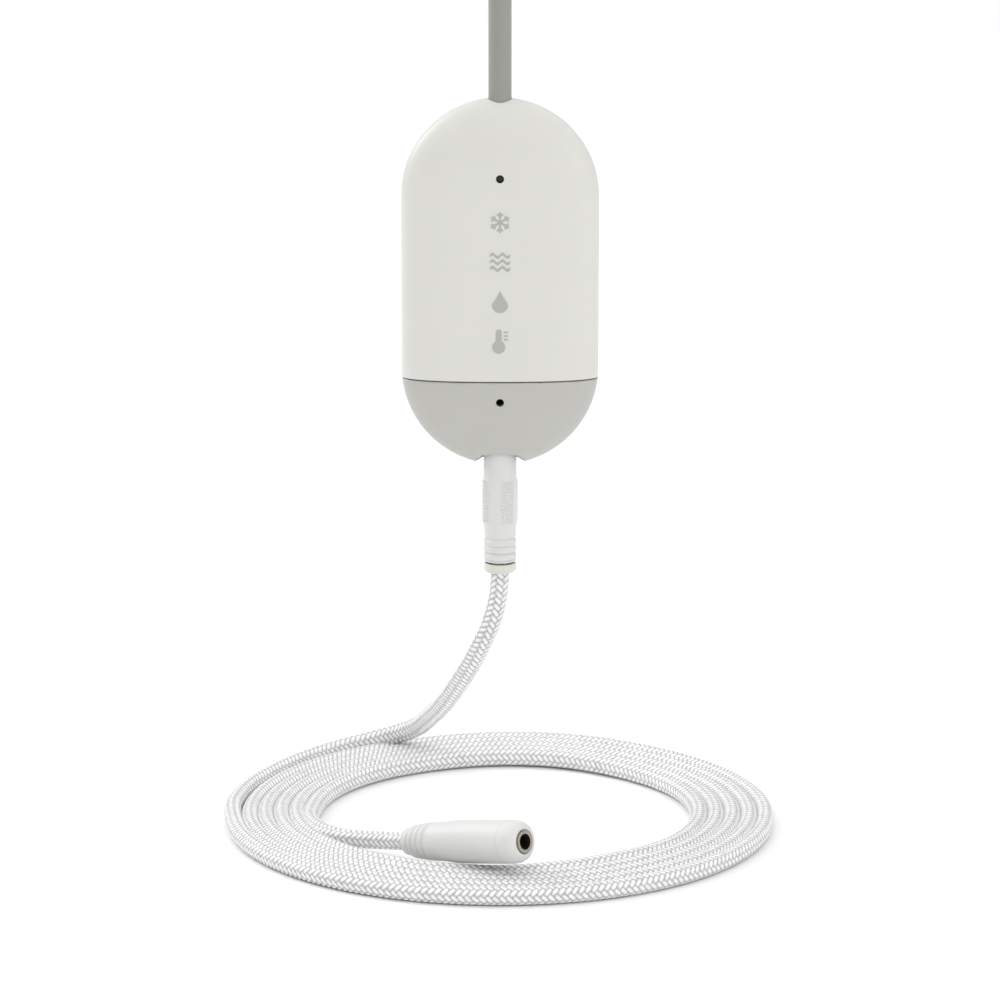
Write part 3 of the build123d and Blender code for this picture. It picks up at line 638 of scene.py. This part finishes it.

# polyester monofilament, white and clear, with painted shade: its colour turns grey in the pits
# between the bundles


def monofilament(braid):
    """The same weave as the relief's, with painted shade: lighter by how proud each bundle
    stands, grey in the pits; the roughness follows the threads.
    """
    cells = add(braid, "ShaderNodeSeparateXYZ", {
        0: add(braid, "ShaderNodeUVMap", uv_map="braid").outputs[0],
    })
    way_along, way_round = cells.outputs[0], cells.outputs[1]
    first = add(braid, "ShaderNodeMath", {0: way_round, 1: way_along}, operation="ADD").outputs[0]
    second = add(
        braid, "ShaderNodeMath", {0: way_round, 1: way_along}, operation="SUBTRACT"
    ).outputs[0]

    # which bundle is on top in this cell, and how far across and along it this place is
    whole = add(braid, "ShaderNodeMath", {
        0: add(braid, "ShaderNodeMath", {0: first}, operation="FLOOR").outputs[0],
        1: add(braid, "ShaderNodeMath", {0: second}, operation="FLOOR").outputs[0],
    }, operation="ADD").outputs[0]
    count_over = add(
        braid, "ShaderNodeMath", {0: whole, 1: 4.0}, operation="FLOORED_MODULO"
    ).outputs[0]
    under = add(
        braid, "ShaderNodeMath", {0: count_over, 1: 1.5}, operation="GREATER_THAN"
    ).outputs[0]
    across = add(braid, "ShaderNodeMath", {
        0: add(braid, "ShaderNodeMix", {0: under, 2: first, 3: second}).outputs[0],
    }, operation="FRACT").outputs[0]
    other = add(braid, "ShaderNodeMath", {
        0: add(braid, "ShaderNodeMix", {0: under, 2: second, 3: first}).outputs[0],
    }, operation="FRACT").outputs[0]
    along = add(braid, "ShaderNodeMath", {
        0: add(braid, "ShaderNodeMath", {0: count_over, 1: 2.0}, operation="MODULO").outputs[0],
        1: other,
    }, operation="ADD").outputs[0]

    # how proud the bundle stands there
    turned = add(
        braid, "ShaderNodeMath", {0: across, 1: math.pi}, operation="MULTIPLY"
    ).outputs[0]
    arched = add(braid, "ShaderNodeMath", {0: turned}, operation="SINE").outputs[0]
    hump_across = add(
        braid, "ShaderNodeMath", {0: arched, 1: ROUND_ACROSS}, operation="POWER"
    ).outputs[0]
    turned = add(
        braid, "ShaderNodeMath", {0: along, 1: math.pi / 2}, operation="MULTIPLY"
    ).outputs[0]
    arched = add(braid, "ShaderNodeMath", {0: turned}, operation="SINE").outputs[0]
    hump_along = add(
        braid, "ShaderNodeMath", {0: arched, 1: ROUND_ALONG}, operation="POWER"
    ).outputs[0]
    hump = add(
        braid, "ShaderNodeMath", {0: hump_across, 1: hump_along}, operation="MULTIPLY"
    ).outputs[0]

    # painted sheen: the colour brightens in clouds about a millimetre wide. And two threads to a
    # bundle: a real one has more, too fine to show
    sheen_noise = add(braid, "ShaderNodeTexNoise", {
        "Vector": add(braid, "ShaderNodeTexCoord").outputs["Object"], "Scale": 900.0,
    }).outputs[0]
    painted_sheen = add(
        braid, "ShaderNodeMath", {0: sheen_noise, 1: 1.4, 2: 0.5}, operation="MULTIPLY_ADD"
    ).outputs[0]
    turned = add(
        braid, "ShaderNodeMath", {0: across, 1: 2 * math.tau}, operation="MULTIPLY"
    ).outputs[0]
    threads = add(braid, "ShaderNodeMath", {0: turned}, operation="SINE").outputs[0]
    return {
        # painted shade and painted sheen in the colour: grey where a bundle sinks into the pits,
        # brighter in the sheen's clouds
        "Base Color": add(braid, "ShaderNodeMix", {
            0: add(braid, "ShaderNodeMath", {0: hump, 1: painted_sheen}, operation="MULTIPLY").outputs[0],
            6: paint("#9E9EA2"), 7: paint("#FDFDFD"),
        }, data_type="RGBA").outputs[2],
        "Roughness": add(braid, "ShaderNodeMapRange", {
            "Value": threads, "From Min": -1.0, "To Min": 0.26, "To Max": 0.42,
        }).outputs[0],
        "Normal": add(braid, "ShaderNodeBump", {
            "Height": add(
                braid, "ShaderNodeMath", {0: threads, 1: 0.07, 2: hump}, operation="MULTIPLY_ADD"
            ).outputs[0],
            "Distance": 0.18 * MM,
        }).outputs[0],
        "IOR": 1.57,
        "Coat Weight": 0.3,
        "Coat Roughness": 0.25,
    }


polyester = shaded("polyester_monofilament_braid", monofilament)
cable_mesh.materials.clear()
cable_mesh.materials.append(polyester)

sensing_cable = bpy.data.objects.new("sensing_cable", cable_mesh)
bpy.context.collection.objects.link(sensing_cable)
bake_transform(sensing_cable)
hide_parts("cable_drop", "cable_run_in", "cable_coil", "cable_tail")

# ---- socket on the cable's far end ---------------------------------------------------------
# The same white rubber moulded over a nickel-plated bush, so that a further cable can be
# plugged in. Ribs at its back end, where this cable goes in, let it flex.
socket_pieces = [
    cast("socket_moulding", white_rubber, "sensor"),
    cast("socket_collar", white_rubber, "sensor"),
    cast("socket_bush", nickel, "sensor"),
]

# ---- floor, light and camera ---------------------------------------------------------------
# A seamless white floor that burns out to pure white, a surround that brightens towards the
# zenith like a light tent, a soft light at the right and one high behind the left, a long lens.
FLOOR_GAP = 0.02 * MM
floor_shape = bmesh.new()
bmesh.ops.create_grid(floor_shape, x_segments=1, y_segments=1, size=8.0)
for vert in floor_shape.verts:
    vert.co.z = FLOOR_Z - FLOOR_GAP
floor_mesh = bpy.data.meshes.new("studio_floor")
floor_shape.to_mesh(floor_mesh)
floor_shape.free()
floor_mesh.materials.append(surface(
    "seamless_white_paper", ("#FBFBFB", "#FCFCFC"), (0.85, 0.95), 50, 0.4, 0.01,
    Specular_IOR_Level=0.1,
))
studio_floor = bpy.data.objects.new("studio_floor", floor_mesh)
bpy.context.collection.objects.link(studio_floor)

surround = bpy.data.worlds.new("light_tent")
surround.use_nodes = True
surround.node_tree.nodes["Background"].inputs["Color"].default_value = (1, 1, 1, 1)
height = add(surround, "ShaderNodeSeparateXYZ", {
    0: add(surround, "ShaderNodeTexCoord").outputs["Generated"],
}).outputs[2]
surround.node_tree.links.new(
    add(surround, "ShaderNodeMapRange", {
        "Value": height, "From Min": 0.0, "From Max": 1.0, "To Min": 0.30, "To Max": 1.41,
    }).outputs[0],
    surround.node_tree.nodes["Background"].inputs["Strength"],
)
bpy.context.scene.world = surround


def softbox(name, place, aim, wide, high, power):
    """A rectangular light that faces a place, in metres and watts."""
    lamp = bpy.data.lights.new(name, "AREA")
    lamp.shape = "RECTANGLE"
    lamp.size, lamp.size_y = wide, high
    lamp.energy = power
    holder = bpy.data.objects.new(name, lamp)
    holder.location = place
    holder.rotation_euler = (Vector(aim) - Vector(place)).to_track_quat("-Z", "Y").to_euler()
    bpy.context.collection.objects.link(holder)


pod_middle = (0, 0, -0.1)
softbox("right_front", (1.1, -0.8, 0.2), pod_middle, wide=0.7, high=0.9, power=2.0)
softbox("high_left_rear", (-0.9, 0.5, 0.5), pod_middle, wide=0.6, high=0.6, power=4.0)

LOOKS_DOWN = 12.3
eye = bpy.data.cameras.new("camera")
eye.lens = 140.6
eye.sensor_width = 36.0
eye.clip_end = 40.0
camera = bpy.data.objects.new("camera", eye)
camera.location = (0, -0.889, 0.042)
camera.rotation_euler = (math.radians(90 - LOOKS_DOWN), 0, 0)
bpy.context.collection.objects.link(camera)
bpy.context.scene.camera = camera
bpy.context.scene.view_settings.view_transform = "Standard"
